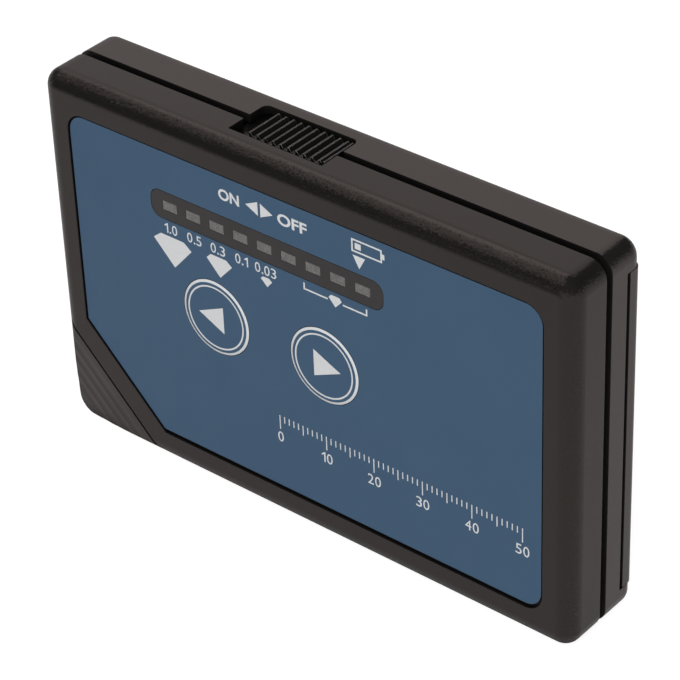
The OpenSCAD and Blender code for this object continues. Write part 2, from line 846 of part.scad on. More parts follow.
// Tapered contact spring between a plate and the flat end of a cell
module battery_spring(i) color("#d4d0c6") {
    seat = spring_wire / 2 + seat_gap;
    up = i % 2 == 0;
    z = up ? bay_z0 + plate_t + seat : bay_z1 - plate_t - seat;
    translate([cell_x(i), y_at(t_cell), z]) rotate([up ? 0 : 180, 0, 0])
        coil(spring_turns, spring_l - 2 * seat, spring_d / 2, spring_top_d / 2, spring_wire);
}

// Insulated wire through a list of points given as [x, t, z]
module wire(route, d) {
    places = [for (p = route) [p.x, y_at(p.y), p.z]];
    for (i = [0 : len(places) - 2]) {
        v = places[i + 1] - places[i];
        translate(places[i]) rotate([0, acos(v.z / norm(v)), atan2(v.y, v.x)]) cylinder(d = d, h = norm(v));
    }
    for (p = places) translate(p) sphere(d = d);
}

module positive_lead() color("#a32a24") wire([
    [cell_x(cell_count - 1) - lead_off, t_cell, bay_z1 + tab_l - lead_d],
    [board_x1 - lead_inset, t_cell, bay_z1 + tab_l - lead_d],
    [board_x1 - lead_inset, t_lead_board, board_notch_z - lead_run]
], lead_d);

module negative_lead() color("#1c1c1e") wire([
    [cell_x(0) - lead_off, t_cell, bay_z0 - tab_l + lead_d],
    [board_x1 - lead_inset, t_cell, bay_z0 - tab_l + lead_d],
    [board_x1 - lead_inset, t_lead_board, board_z0 + 2 * lead_run]
], lead_d);

// Sliding door: plate, edge that wraps the side, rails under the back wall and a grooved grip
module battery_door() color("#2b2928") difference() {
    union() {
        intersection() {
            case_form(door_round);
            union() {
                depth(t_door_in, case_d + cut) rect(door_x0 + wrap_gap, case_w,
                    door_z0 + rail_lap + slide_gap, door_z1 - rail_lap - slide_gap);
                depth(t_wrap, case_d + cut) rect(in_x, case_w, door_z0 + slide_gap, door_z1 - slide_gap);
            }
        }
        depth(t_rail, t_door_in) {
            rect(frame_x + wrap_gap, in_x, door_z0 + slide_gap, door_z0 + slide_gap + rail_w);
            rect(frame_x + wrap_gap, in_x, door_z1 - slide_gap - rail_w, door_z1 - slide_gap);
        }
    }
    for (i = [0 : grip_count - 1])
        depth(case_d - grip_d, case_d + cut) translate([grip_x + i * grip_pitch, case_h / 2])
            square([grip_w, grip_l], center = true);
}

// Sleeve that carries the probe, trapped between the halves by its flange and shield
module probe_sleeve() color("#2f2d2c") along_probe() difference() {
    union() {
        translate([0, 0, -sleeve_in]) cylinder(d = sleeve_d, h = sleeve_in + sleeve_out);
        translate([0, 0, -wall - fit - sleeve_flange_t]) cylinder(d = sleeve_flange_d, h = sleeve_flange_t);
        translate([0, 0, fit + shield_t / 2]) cube([shield_l, shield_w, shield_t], center = true);
    }
    translate([0, 0, -sleeve_in - cut]) cylinder(d = sleeve_bore, h = sleeve_in + sleeve_out + 2 * cut);
}

// Turned metal nose, pressed into the sleeve
module probe_nose() color("#b9b4aa") along_probe() rotate_extrude() polygon([
    [nose_bore / 2, sleeve_out - nose_stem],
    [sleeve_bore / 2 - seat_gap, sleeve_out - nose_stem],
    [sleeve_bore / 2 - seat_gap, nose_s],
    [nose_d / 2, nose_s],
    [nose_d / 2, nose_s + nose_band],
    [nose_end_d / 2, nose_s + nose_l],
    [tip_d / 2 + slide_gap, nose_s + nose_l],
    [tip_d / 2 + slide_gap, sleeve_out],
    [nose_bore / 2, sleeve_out]
]);

// Contact tip: a round-ended copper pin with a collar for its spring
module probe_tip() color("#b87040") along_probe() {
    tail = collar_s - tip_tail;
    ball = nose_s + nose_l + tip_out - tip_d / 2;
    translate([0, 0, tail]) cylinder(d = tip_d, h = ball - tail);
    translate([0, 0, ball]) sphere(d = tip_d);
    translate([0, 0, collar_s]) cylinder(d = collar_d, h = collar_t);
}

module probe_spring() color("#d4d0c6") along_probe() {
    seat = probe_spring_wire / 2 + seat_gap;
    translate([0, 0, plug_s + seat]) coil(probe_spring_turns, probe_spring_l - 2 * seat,
        probe_spring_d / 2, probe_spring_d / 2, probe_spring_wire);
}

module probe_plug() color("#e4e0d4") along_probe()
    translate([0, 0, -sleeve_in]) cylinder(d = sleeve_bore - fit, h = sleeve_in + plug_s);

module probe_leads() color("#8c2f2a") along_probe() for (side = [-1, 1])
    translate([side * lead_d, y_at(t_board_back) + lead_d / 2 + fit, -connector_s])
        cylinder(d = lead_d, h = connector_s - sleeve_in);

// Wedge under the cap's sloping face, in the probe's axes
module cap_slope() {
    reach = 2 * cap_leg;
    fall = reach * cap_fall / cap_tip;
    translate([reach / 2, 0, 0]) rotate([0, -90, 0]) linear_extrude(reach) polygon([
        [0, y_at(0)],
        [reach, y_at(fall)],
        [reach, y_at(-cut)],
        [0, y_at(-cut)]
    ]);
}

// Pull-off cap: the corner of the case form, hollowed to clear the probe
module probe_cap() color("#242221") difference() {
    intersection() {
        case_form();
        depth(-cut, case_d + cut) below_line(seam_c - cap_gap * sqrt(2));
    }
    along_probe() {
        cap_slope();
        for (i = [0 : cap_grooves - 1]) {
            s = cap_groove_start + i * cap_groove_pitch;
            translate([0, y_at(s * cap_fall / cap_tip), s]) rotate([-cap_angle, 0, 0])
                translate([0, cap_groove_d - cap_groove_r, 0]) rotate([0, 90, 0])
                    cylinder(r = cap_groove_r, h = 2 * cap_leg, center = true);
        }
        translate([-shield_l / 2 - run_gap, -shield_w / 2 - run_gap, -cut])
            cube([shield_l + 2 * run_gap, shield_w + 2 * run_gap, cut + fit + shield_t + run_gap]);
        translate([0, 0, -cut]) cylinder(d = sleeve_d + 2 * slide_gap, h = cut + sleeve_out + run_gap);
        translate([0, 0, -cut]) cylinder(d = nose_d + 2 * run_gap, h = cut + nose_s + nose_l / 2);
        translate([0, 0, -cut]) cylinder(d = cap_step_d, h = cut + nose_s + nose_l + run_gap);
        translate([0, 0, -cut])
            cylinder(d = tip_d + cap_tip_play, h = cut + nose_s + nose_l + tip_out + cap_tip_room);
    }
}

// Screw driven from the back, with a cross slot in its head
module screw(place, t_end, t_seat, core_d, head_d, head_h) difference() {
    union() {
        depth(t_end, t_seat) translate(place) circle(d = core_d);
        depth(t_seat, t_seat + head_h) translate(place) circle(d = head_d);
    }
    depth(t_seat + head_h / 2, t_seat + head_h + cut) translate(place) {
        square(head_d * [slot_share, slot_width_share], center = true);
        square(head_d * [slot_width_share, slot_share], center = true);
    }
}

module case_screws() color("#8e8f92") for (p = posts)
    screw(p, t_inner + screw_end, t_screw_seat, screw_d, screw_head_d, screw_head_h);
module board_screws() color("#b5a25f") for (p = board_posts)
    screw(p, t_inner + screw_end, t_board_back, board_screw_d, board_head_d, board_head_h);

echo(battery_spring_least_gap =
    coil_gap(spring_turns, spring_l - spring_wire, spring_d / 2, spring_top_d / 2, spring_wire));
echo(probe_spring_least_gap = coil_gap(probe_spring_turns, probe_spring_l - probe_spring_wire,
    probe_spring_d / 2, probe_spring_d / 2, probe_spring_wire));

front_shell();
back_shell();
overlay_panel();
indicator_window();
led(1);  // led_1
led(2);  // led_2
led(3);  // led_3
led(4);  // led_4
led(5);  // led_5
led(6);  // led_6
led(7);  // led_7
led(8);  // led_8
led(9);  // led_9
circuit_board();
tact_switch(-1);  // left_tact_switch
tact_switch(1);  // right_tact_switch
slide_switch_body();
chip(driver_at, driver_l, driver_pin_count);  // driver_chip
chip(amplifier_at, amplifier_l, amplifier_pin_count);  // amplifier_chip
trimmer();
filter_capacitor();
buzzer();
probe_connector();
key(-1);  // left_key
tact_stem(-1);  // left_tact_stem
key(1);  // right_key
tact_stem(1);  // right_tact_stem
power_slider();
switch_lever();
battery_cell(0);  // battery_cell_1
battery_cell(1);  // battery_cell_2
battery_cell(2);  // battery_cell_3
positive_terminal();
negative_terminal();
top_bridge();
bottom_bridge();
battery_spring(0);  // battery_spring_1
battery_spring(1);  // battery_spring_2
battery_spring(2);  // battery_spring_3
positive_lead();
negative_lead();
battery_door();
probe_sleeve();
probe_nose();
probe_tip();
probe_spring();
probe_plug();
probe_leads();
probe_cap();
case_screws();
board_screws();
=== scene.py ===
# %% [markdown]
# # A hand-held diamond tester
#
# The object is a flat black case that stands on its long edge. Its front carries a slate-blue printed sheet
# with a strip of nine lamps, two round keys and a few marks, and a ridged slider sits in the top. The
# shapes come from a CAD model, one mesh for each physical piece, which is loaded first and left alone. What
# this lesson adds is what CAD leaves out: the light, the finish of every material, the ink on the sheet and
# keys, and a merged copy of the probe spring.

# %% Load the CAD model
import json
from math import pi, radians

import bpy
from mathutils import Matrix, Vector


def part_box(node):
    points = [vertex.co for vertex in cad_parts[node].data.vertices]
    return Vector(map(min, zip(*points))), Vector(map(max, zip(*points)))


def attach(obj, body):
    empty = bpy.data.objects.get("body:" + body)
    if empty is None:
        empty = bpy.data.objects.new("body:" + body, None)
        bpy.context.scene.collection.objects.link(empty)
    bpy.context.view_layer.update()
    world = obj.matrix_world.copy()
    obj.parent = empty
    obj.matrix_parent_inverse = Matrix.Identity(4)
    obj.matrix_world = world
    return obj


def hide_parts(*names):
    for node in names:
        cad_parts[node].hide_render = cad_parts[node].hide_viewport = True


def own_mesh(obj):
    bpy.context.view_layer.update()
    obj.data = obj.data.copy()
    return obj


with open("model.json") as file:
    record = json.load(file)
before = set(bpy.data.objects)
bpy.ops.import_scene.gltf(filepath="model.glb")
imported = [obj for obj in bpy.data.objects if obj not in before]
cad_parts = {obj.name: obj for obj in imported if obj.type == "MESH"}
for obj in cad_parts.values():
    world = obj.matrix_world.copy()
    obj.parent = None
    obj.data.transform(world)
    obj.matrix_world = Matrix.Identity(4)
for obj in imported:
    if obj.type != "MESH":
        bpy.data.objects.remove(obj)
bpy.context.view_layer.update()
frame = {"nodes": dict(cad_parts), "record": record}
MM = 0.001

# %% [markdown]
# ## Camera
#
# A product picture of this kind is taken from some distance with a long lens, so that the edges of the case
# stay nearly parallel. The camera stands half a metre away, in front of the right end and well above it. It
# is placed before anything else, because the light is judged through it.

# %% Place the camera
CAMERA_PLACE = (0.26298, -0.30287, 0.31222)
CAMERA_TURN = (radians(55.207), radians(1.902), radians(39.489))
SENSOR_WIDTH = 36
LENS_LENGTH = 157.47
bpy.ops.object.camera_add(location=CAMERA_PLACE, rotation=CAMERA_TURN)
camera = bpy.context.object
camera.name = "studio_camera"
camera.data.sensor_width = SENSOR_WIDTH
camera.data.lens = LENS_LENGTH
bpy.context.scene.camera = camera
print("camera", [round(v, 3) for v in camera.location], "lens", round(camera.data.lens, 1))

# %% [markdown]
# ## Floor and room
#
# A studio table runs up into a low wall behind the object, so that no corner shows. Here that is a round
# sheet with an upturned rim, which looks the same from every side. Its material adds a plain white glow for
# the rays that the eye follows, straight or by way of gloss and glass, and plain shading on top of it, so
# that the object still leaves its shadow. Above the rim the room is dim, because black plastic shows what
# it mirrors more than its own colour.

# %% Model the floor
FLOOR_RADIUS = 3.0
FLOOR_STEPS = 96
RIM_WIDTH = 0.4
RIM_HEIGHT = 0.55
SMOOTH_ANGLE = radians(40)
FLOOR_LEVEL = -0.05 * MM
bpy.ops.object.select_all(action="DESELECT")
bpy.ops.mesh.primitive_circle_add(vertices=FLOOR_STEPS, radius=FLOOR_RADIUS, fill_type="NGON",
                                  location=(0, 0, FLOOR_LEVEL))
floor = bpy.context.object
floor.name = "studio_floor"
bpy.ops.object.mode_set(mode="EDIT")
bpy.ops.mesh.select_all(action="SELECT")
bpy.ops.mesh.inset(thickness=RIM_WIDTH)
bpy.ops.mesh.select_all(action="DESELECT")
bpy.ops.mesh.select_mode(type="EDGE")
bpy.ops.mesh.select_non_manifold(extend=False)
bpy.ops.mesh.extrude_region_move(TRANSFORM_OT_translate={"value": (0, 0, RIM_HEIGHT)})
bpy.ops.object.mode_set(mode="OBJECT")
bpy.ops.object.shade_smooth_by_angle(angle=SMOOTH_ANGLE)
print("floor", len(floor.data.polygons), "faces")

# %% Give the floor its white and its shadow
EYE_GLOW = 0.82
GLOSS_GLOW = 0.29
PLAIN_WHITE = (1, 1, 1, 1)
WARM_WHITE = (1.0, 0.92, 0.90, 1)
PAPER_GREY = (0.35, 0.35, 0.35, 1)
floor_white = bpy.data.materials.new("floor_white")
floor_white.use_nodes = True
tree = floor_white.node_tree
tree.nodes.clear()
ray = tree.nodes.new("ShaderNodeLightPath")


def floor_glow(colour, level, first_ray, second_ray):
    """A glow that only the two named kinds of ray meet."""
    kind = tree.nodes.new("ShaderNodeMath")
    kind.operation = "MAXIMUM"
    tree.links.new(ray.outputs[first_ray], kind.inputs[0])
    tree.links.new(ray.outputs[second_ray], kind.inputs[1])
    strength = tree.nodes.new("ShaderNodeMath")
    strength.operation = "MULTIPLY"
    strength.inputs[1].default_value = level
    tree.links.new(kind.outputs[0], strength.inputs[0])
    glow = tree.nodes.new("ShaderNodeEmission")
    glow.inputs["Color"].default_value = colour
    tree.links.new(strength.outputs[0], glow.inputs["Strength"])
    return glow.outputs[0]


def add_shaders(first, second):
    """The sum of two shaders."""
    total = tree.nodes.new("ShaderNodeAddShader")
    tree.links.new(first, total.inputs[0])
    tree.links.new(second, total.inputs[1])
    return total.outputs[0]


paper = tree.nodes.new("ShaderNodeBsdfDiffuse")
paper.inputs["Color"].default_value = PAPER_GREY
seen_white = floor_glow(PLAIN_WHITE, EYE_GLOW, "Is Camera Ray", "Is Camera Ray")
mirrored_white = floor_glow(WARM_WHITE, GLOSS_GLOW, "Is Glossy Ray", "Is Transmission Ray")
surface = tree.nodes.new("ShaderNodeOutputMaterial")
floor_light = add_shaders(seen_white, mirrored_white)
tree.links.new(add_shaders(floor_light, paper.outputs[0]), surface.inputs["Surface"])
floor.data.materials.append(floor_white)
print("floor material", len(tree.nodes), "nodes")

# %% [markdown]
# ## Dark sheet
#
# Black plastic under soft light looks flat unless something dark is mirrored along its rounded edges. A
# photographer lays a dark sheet in front of the object and bends it up. Here it starts as a plane. Its
# corners go to the places of a wedge that widens away from the object, and its far edge is extruded
# upwards. It lies at the front left, where the rounded top edge mirrors it. Only gloss sees it: the camera
# does not, and it leaves no shadow on the floor.

# %% Model the dark sheet
SHEET_FAR = -0.75
SHEET_CORNERS = [(-0.40, -0.18), (0.05, -0.15), (-1.10, SHEET_FAR), (-0.36, SHEET_FAR)]
SHEET_LIFT = 0.5 * MM
SHEET_RISE = 0.6
SHEET_BLACK = (0.04, 0.04, 0.04, 1)
bpy.ops.object.select_all(action="DESELECT")
bpy.ops.mesh.primitive_plane_add(size=1)
dark_sheet = bpy.context.object
dark_sheet.name = "dark_sheet"
for vertex in dark_sheet.data.vertices:
    corner = (0 if vertex.co.y > 0 else 2) + (0 if vertex.co.x < 0 else 1)
    vertex.co = (*SHEET_CORNERS[corner], SHEET_LIFT)
bpy.ops.object.mode_set(mode="EDIT")
bpy.ops.mesh.select_mode(type="EDGE")
bpy.ops.mesh.select_all(action="DESELECT")
bpy.ops.object.mode_set(mode="OBJECT")
for edge in dark_sheet.data.edges:
    edge.select = all(dark_sheet.data.vertices[i].co.y < SHEET_FAR + MM for i in edge.vertices)
bpy.ops.object.mode_set(mode="EDIT")
bpy.ops.mesh.extrude_edges_move(TRANSFORM_OT_translate={"value": (0, 0, SHEET_RISE)})
bpy.ops.object.mode_set(mode="OBJECT")
dark_sheet.visible_camera = False
dark_sheet.visible_diffuse = False
dark_sheet.visible_shadow = False
sheet_black = bpy.data.materials.new("sheet_black")
sheet_black.use_nodes = True
sheet_shader = sheet_black.node_tree.nodes["Principled BSDF"]
sheet_shader.inputs["Base Color"].default_value = SHEET_BLACK
sheet_shader.inputs["Specular IOR Level"].default_value = 0
dark_sheet.data.materials.append(sheet_black)
print("dark sheet", len(dark_sheet.data.polygons), "faces")

# %% [markdown]
# ## Light
#
# A black case is drawn by its reflections. A large soft box behind the left shoulder shows as the even grey
# of the top face, and a long one that hangs level at the left carries that grey into the rounded edge. The
# white floor shows in the front and the right side, and the dark sheet and the dim room show as the dark
# bands between. The key box beside the camera brings up the colours of the printed sheet, and a weak box at
# the back keeps the far side readable. Both are hidden from gloss, so that they leave no bright patch on
# the case.

# %% Place the lamps
ROOM_LEVEL = 0.06
scene = bpy.context.scene
scene.view_settings.view_transform = "Standard"
room = bpy.data.worlds.new("studio_room")
room.use_nodes = True
room.node_tree.nodes["Background"].inputs["Color"].default_value = (ROOM_LEVEL, ROOM_LEVEL, ROOM_LEVEL, 1)
scene.world = room
AIM = Vector((0, 0, 0.035))
LAMP_WARM = WARM_WHITE[:3]


def soft_box(name, direction, distance, wide, tall, watts, colour=(1, 1, 1)):
    """An area lamp that faces the object from the given direction."""
    place = AIM + Vector(direction).normalized() * distance
    bpy.ops.object.light_add(type="AREA", location=place)
    lamp = bpy.context.object
    lamp.name = name
    lamp.rotation_euler = (AIM - place).to_track_quat("-Z", "Y").to_euler()
    lamp.data.shape = "RECTANGLE"
    lamp.data.size = wide
    lamp.data.size_y = tall
    lamp.data.energy = watts
    lamp.data.color = colour
    lamp.visible_camera = False
    return lamp


lamps = [
    soft_box("top_box", (-0.52, 0.56, 0.64), 1.3, wide=1.3, tall=1.3, watts=3.3, colour=LAMP_WARM),
    soft_box("overhead_box", (-0.49, -0.226, 0.841), 1.325, wide=0.66, tall=1.7, watts=3.1, colour=LAMP_WARM),
    soft_box("key_box", (0.40, -0.72, 0.56), 2.0, wide=2.0, tall=2.0, watts=55),
    soft_box("back_box", (0.0, 0.95, 0.28), 1.5, wide=0.6, tall=0.6, watts=4),
]
bpy.data.objects["overhead_box"].rotation_euler = (0, 0, 0)
for name in ("key_box", "back_box"):
    bpy.data.objects[name].visible_glossy = False
print("lamps", [lamp.name for lamp in lamps])

# %% [markdown]
# ## Helpers for the finishes
#
# Every finish is a Principled shader with a few nodes in front of it. They could be placed one by one each
# time, but the same small groups come back, so helpers make them. Noise on Object coordinates stays on its
# piece when the piece moves, a range sets how strongly it shows, and a mix joins two colours by it. Each
# helper takes the material and gives back an output socket for the next one.

# %% Start a material and join its nodes


def start_material(name, colour, roughness, specular=0.5, metallic=0.0):
    """A Principled material with its plain numbers on the shader's own sockets."""
    material = bpy.data.materials.new(name)
    material.use_nodes = True
    shader = material.node_tree.nodes["Principled BSDF"]
    shader.inputs["Base Color"].default_value = (*colour, 1)
    shader.inputs["Roughness"].default_value = roughness
    shader.inputs["Specular IOR Level"].default_value = specular
    shader.inputs["Metallic"].default_value = metallic
    return material, shader


def add_node(material, kind, **settings):
    """A new node of that kind; the settings are its own properties."""
    node = material.node_tree.nodes.new("ShaderNode" + kind)
    for key, value in settings.items():
        setattr(node, key, value)
    return node


def link(material, output, target):
    """Joins an output socket to an input socket."""
    material.node_tree.links.new(output, target)


print("material helpers ready")

# %% Make patterns and mix them


def noise(material, size, detail=2.0, stretch=(1, 1, 1), output="Fac"):
    """Noise on Object coordinates, with blots of about the given size in metres."""
    place = add_node(material, "TexCoord")
    turn = add_node(material, "Mapping")
    turn.inputs["Scale"].default_value = stretch
    link(material, place.outputs["Object"], turn.inputs["Vector"])
    texture = add_node(material, "TexNoise")
    texture.inputs["Scale"].default_value = 1 / size
    texture.inputs["Detail"].default_value = detail
    link(material, turn.outputs["Vector"], texture.inputs["Vector"])
    return texture.outputs[output]


def spread(material, value, low, high, start=0.3, end=0.7):
    """Maps a value between start and end to the range from low to high."""
    step = add_node(material, "MapRange")
    step.inputs["From Min"].default_value = start
    step.inputs["From Max"].default_value = end
    step.inputs["To Min"].default_value = low
    step.inputs["To Max"].default_value = high
    link(material, value, step.inputs["Value"])
    return step.outputs["Result"]


def blend_colours(material, amount, first, second):
    """Mixes two colours, given as three numbers or as a socket, by an amount from 0 to 1."""
    mix = add_node(material, "Mix", data_type="RGBA")
    link(material, amount, mix.inputs["Factor"])
    sockets = [s for s in mix.inputs if s.type == "RGBA"]
    for socket, colour in zip(sockets, (first, second)):
        if isinstance(colour, tuple):
            socket.default_value = (*colour, 1)
        else:
            link(material, colour, socket)
    return next(s for s in mix.outputs if s.type == "RGBA")


def blend_values(material, amount, first, second):
    """Goes from a plain number to a socket's value as the amount goes from 0 to 1."""
    mix = add_node(material, "Mix", data_type="FLOAT")
    link(material, amount, mix.inputs["Factor"])
    mix.inputs["A"].default_value = first
    link(material, second, mix.inputs["B"])
    return mix.outputs["Result"]


def product(material, first, second):
    """The product of two values."""
    times = add_node(material, "Math", operation="MULTIPLY")
    link(material, first, times.inputs[0])
    link(material, second, times.inputs[1])
    return times.outputs[0]


print("pattern helpers ready")

# %% [markdown]
# ## Relief, edges, grain and gaps
#
# Sharp CAD edges look wrong from close by, because any mould or blade leaves them a little round. A Bevel
# node rounds them in the shading alone. Comparing the rounded normal with the plain one also tells where an
# edge is. A Bump node makes most reliefs, but it smooths away a grain about as fine as a pixel, so there
# noise tilts the normal directly. It tilts most on rounded edges, where the picture in the gloss changes
# fast and the grain is seen. An Ambient Occlusion node finds the gaps, and painted shade darkens them.

# %% Raise a relief and soften the edges
SHADER_SAMPLES = 6
EDGE_RANGE = (0.84, 0.99)


def bump(material, height, depth, normal=None):
    """Turns a height from 0 to 1 into a relief of the given depth in metres."""
    relief = add_node(material, "Bump")
    relief.inputs["Distance"].default_value = depth
    link(material, height, relief.inputs["Height"])
    if normal is not None:
        link(material, normal, relief.inputs["Normal"])
    return relief.outputs["Normal"]


def vector_math(material, operation, first, second=None, result="Vector"):
    """One step of arithmetic on vectors; the second may be three plain numbers."""
    step = add_node(material, "VectorMath", operation=operation)
    link(material, first, step.inputs[0])
    if isinstance(second, tuple):
        step.inputs[1].default_value = second
    elif second is not None:
        link(material, second, step.inputs[1])
    return step.outputs[result]


def soft_edge(material, radius):
    """The normal of the surface with its sharp edges rounded, and a mask of those edges."""
    bevel = add_node(material, "Bevel", samples=SHADER_SAMPLES)
    bevel.inputs["Radius"].default_value = radius
    rounded = bevel.outputs["Normal"]
    plain = add_node(material, "NewGeometry").outputs["Normal"]
    same = vector_math(material, "DOT_PRODUCT", rounded, plain, "Value")
    return rounded, spread(material, same, 1.0, 0.0, *EDGE_RANGE)


print("edges are found between", EDGE_RANGE)

# %% Tilt the grain and find the gaps
NOISE_MIDDLE = (0.5, 0.5, 0.5)
FLAT_RANGE = (0.6, 1.0)
FLAT_SHARE = 0.1
OPEN_RANGE = (0.33, 0.62)


def tilted_grain(material, size, tilt, normal):
    """A normal that leans at random from grain to grain, least on faces that are square to an axis."""
    lean = vector_math(material, "SUBTRACT", noise(material, size, 1, output="Color"), NOISE_MIDDLE)
    facing = add_node(material, "TexCoord").outputs["Normal"]
    squares = vector_math(material, "MULTIPLY", facing, facing)
    flatness = vector_math(material, "DOT_PRODUCT", squares, squares, "Value")
    strength = spread(material, flatness, tilt, FLAT_SHARE * tilt, *FLAT_RANGE)
    tilted = vector_math(material, "ADD", normal, vector_math(material, "MULTIPLY", lean, strength))
    return vector_math(material, "NORMALIZE", tilted)


def open_to_light(material, reach):
    """A mask for painted shade: 1 on open surfaces, falling to 0 inside gaps narrower than the reach."""
    shade = add_node(material, "AmbientOcclusion", samples=SHADER_SAMPLES)
    shade.inputs["Distance"].default_value = reach
    return spread(material, shade.outputs["AO"], 0.0, 1.0, *OPEN_RANGE)


print("flat faces keep", FLAT_SHARE, "of the grain")

# %% [markdown]
# ## Moulded plastic
#
# The case is black moulded plastic with a fine spark-eroded grain. Its own colour is almost nothing, so the
# grey that the eye sees is gloss. Its edges are paler in patches from rubbing, its gaps get painted shade and
# are dull, and a slow noise changes the roughness a little, as handling does. One function makes all the
# plastics, because they differ in a few numbers only. The back half has more gloss than the front, a painted
# brightness for the light that the real back half's draft catches, since the model's faces are straight. The
# cap is duller, and the cap and the slider have blacks of their own. The slider's pale edges are a painted
# highlight along its ridges.

# %% Finish of the case
PLASTIC_BLACK = (0.0095, 0.0085, 0.0080)
PLASTIC_WORN = (0.035, 0.032, 0.031)
CAP_BLACK = (0.0155, 0.0138, 0.0130)
SLIDER_BLACK = (0.004, 0.0038, 0.0038)
# Painted highlight: the slider's ridge edges are painted this pale grey.
SLIDER_HIGHLIGHT = (0.42, 0.41, 0.40)
# Painted shade: gaps, slots and grooves that the Ambient Occlusion node finds are painted this black.
PAINTED_GAP_SHADE = (0.002, 0.002, 0.002)
PLASTIC_GLOSS_TINT = (1.0, 0.895, 0.85)
PLASTIC_ROUGHNESS = 0.22
CAP_ROUGHNESS = 0.42
HANDLING_CHANGE = 0.03
HANDLING_SIZE = 9 * MM
GRAIN_SIZE = 0.25 * MM
GRAIN_TILT = 0.85
PLASTIC_WEAR = (0.0, 0.9)
SLIDER_HIGHLIGHT_LEVELS = (0.6, 1.0)
WEAR_AND_HIGHLIGHT_RANGE = (0.5, 0.66)
SLIDER_TILT = 0.3 * GRAIN_TILT
EDGE_ROUND = 0.14 * MM
WEAR_AND_HIGHLIGHT_SIZE = 1.1 * MM
GAP_REACH = 5 * MM


def moulded_plastic(name, gloss, roughness, colour=PLASTIC_BLACK, wear_and_highlight_colour=PLASTIC_WORN, wear_and_highlight_levels=PLASTIC_WEAR,
                    tilt=GRAIN_TILT):
    """Grained black plastic with softened edges, paler in patches (rubbed on the case, a painted highlight on
    the slider), and painted shade in its gaps.
    """
    material, shader = start_material(name, colour, roughness, gloss)
    shader.inputs["Specular Tint"].default_value = (*PLASTIC_GLOSS_TINT, 1)
    unshaded_share = open_to_light(material, GAP_REACH)
    rounded, edge = soft_edge(material, EDGE_ROUND)
    patches = spread(material, noise(material, WEAR_AND_HIGHLIGHT_SIZE, 4), *wear_and_highlight_levels, *WEAR_AND_HIGHLIGHT_RANGE)
    # Paler edges in patches: rubbed on the case, a painted highlight on the slider.
    wear_and_highlight_edge = product(material, product(material, edge, patches), unshaded_share)
    surface_colour = blend_colours(material, wear_and_highlight_edge, colour, wear_and_highlight_colour)
    # Painted shade: the colour goes to black inside gaps.
    link(material, blend_colours(material, unshaded_share, PAINTED_GAP_SHADE, surface_colour), shader.inputs["Base Color"])
    handling = spread(material, noise(material, HANDLING_SIZE, 3), roughness - HANDLING_CHANGE,
                      roughness + HANDLING_CHANGE)
    link(material, blend_values(material, unshaded_share, 1.0, handling), shader.inputs["Roughness"])
    link(material, tilted_grain(material, GRAIN_SIZE, tilt, rounded), shader.inputs["Normal"])
    return material


case_plastic = moulded_plastic("case_plastic", gloss=0.45, roughness=PLASTIC_ROUGHNESS)
# A lit copy of the case plastic: its higher gloss is painted brightness for the light that the real back
# half's draft catches.
lit_back_plastic = moulded_plastic("lit_back_plastic", gloss=0.76, roughness=PLASTIC_ROUGHNESS)
cap_plastic = moulded_plastic("cap_plastic", gloss=0.54, roughness=CAP_ROUGHNESS, colour=CAP_BLACK)
slider_plastic = moulded_plastic("slider_plastic", gloss=0.4, roughness=PLASTIC_ROUGHNESS,
                                 colour=SLIDER_BLACK, wear_and_highlight_colour=SLIDER_HIGHLIGHT, wear_and_highlight_levels=SLIDER_HIGHLIGHT_LEVELS, tilt=SLIDER_TILT)
print("plastics", case_plastic.name, lit_back_plastic.name, cap_plastic.name, slider_plastic.name)

# %% [markdown]
# ## Printed sheet, window and lamps
#
# The blue sheet is a polyester film printed on its face, with a very fine orange-peel texture that keeps it
# from mirroring. Its edge is painted paler as a painted highlight, and the gap around it gets painted shade.
# The strip is smoked acrylic, smoother and nearly black, and each lamp shows in it as a small cloudy face
# with fine moulded lines. All three are thin, so they are made as opaque finishes with their own gloss.

# %% Finish of the sheet
FILM_BLUE = (0.0415, 0.088, 0.151)
FILM_DEEP = (0.0395, 0.0845, 0.146)
# Painted highlight: the sheet's edge is painted this paler blue.
FILM_EDGE_HIGHLIGHT = (0.085, 0.135, 0.20)
FILM_ROUGHNESS = (0.42, 0.48)
FILM_GAP_REACH = 1.0 * MM
FILM_EDGE_ROUND = 0.12 * MM
FILM_BLOT = 14 * MM
FILM_PATCH = 6 * MM
PEEL_SIZE = 0.35 * MM
PEEL_DEPTH = 0.006 * MM
overlay_film, shader = start_material("overlay_film", FILM_BLUE, roughness=0.45, specular=0.28)
unshaded_share = open_to_light(overlay_film, FILM_GAP_REACH)
rounded, edge = soft_edge(overlay_film, FILM_EDGE_ROUND)
blots = spread(overlay_film, noise(overlay_film, FILM_BLOT, 3), 0, 1)
face_colour = blend_colours(overlay_film, blots, FILM_DEEP, FILM_BLUE)
# Painted highlight: the sheet's edge is painted paler.
highlighted_colour = blend_colours(overlay_film, product(overlay_film, edge, unshaded_share), face_colour, FILM_EDGE_HIGHLIGHT)
# Painted shade: the sheet goes black inside the gap around it.
link(overlay_film, blend_colours(overlay_film, unshaded_share, PAINTED_GAP_SHADE, highlighted_colour), shader.inputs["Base Color"])
patches = spread(overlay_film, noise(overlay_film, FILM_PATCH), *FILM_ROUGHNESS)
link(overlay_film, patches, shader.inputs["Roughness"])
peel = bump(overlay_film, noise(overlay_film, PEEL_SIZE), PEEL_DEPTH, rounded)
link(overlay_film, peel, shader.inputs["Normal"])
print("sheet", overlay_film.name)

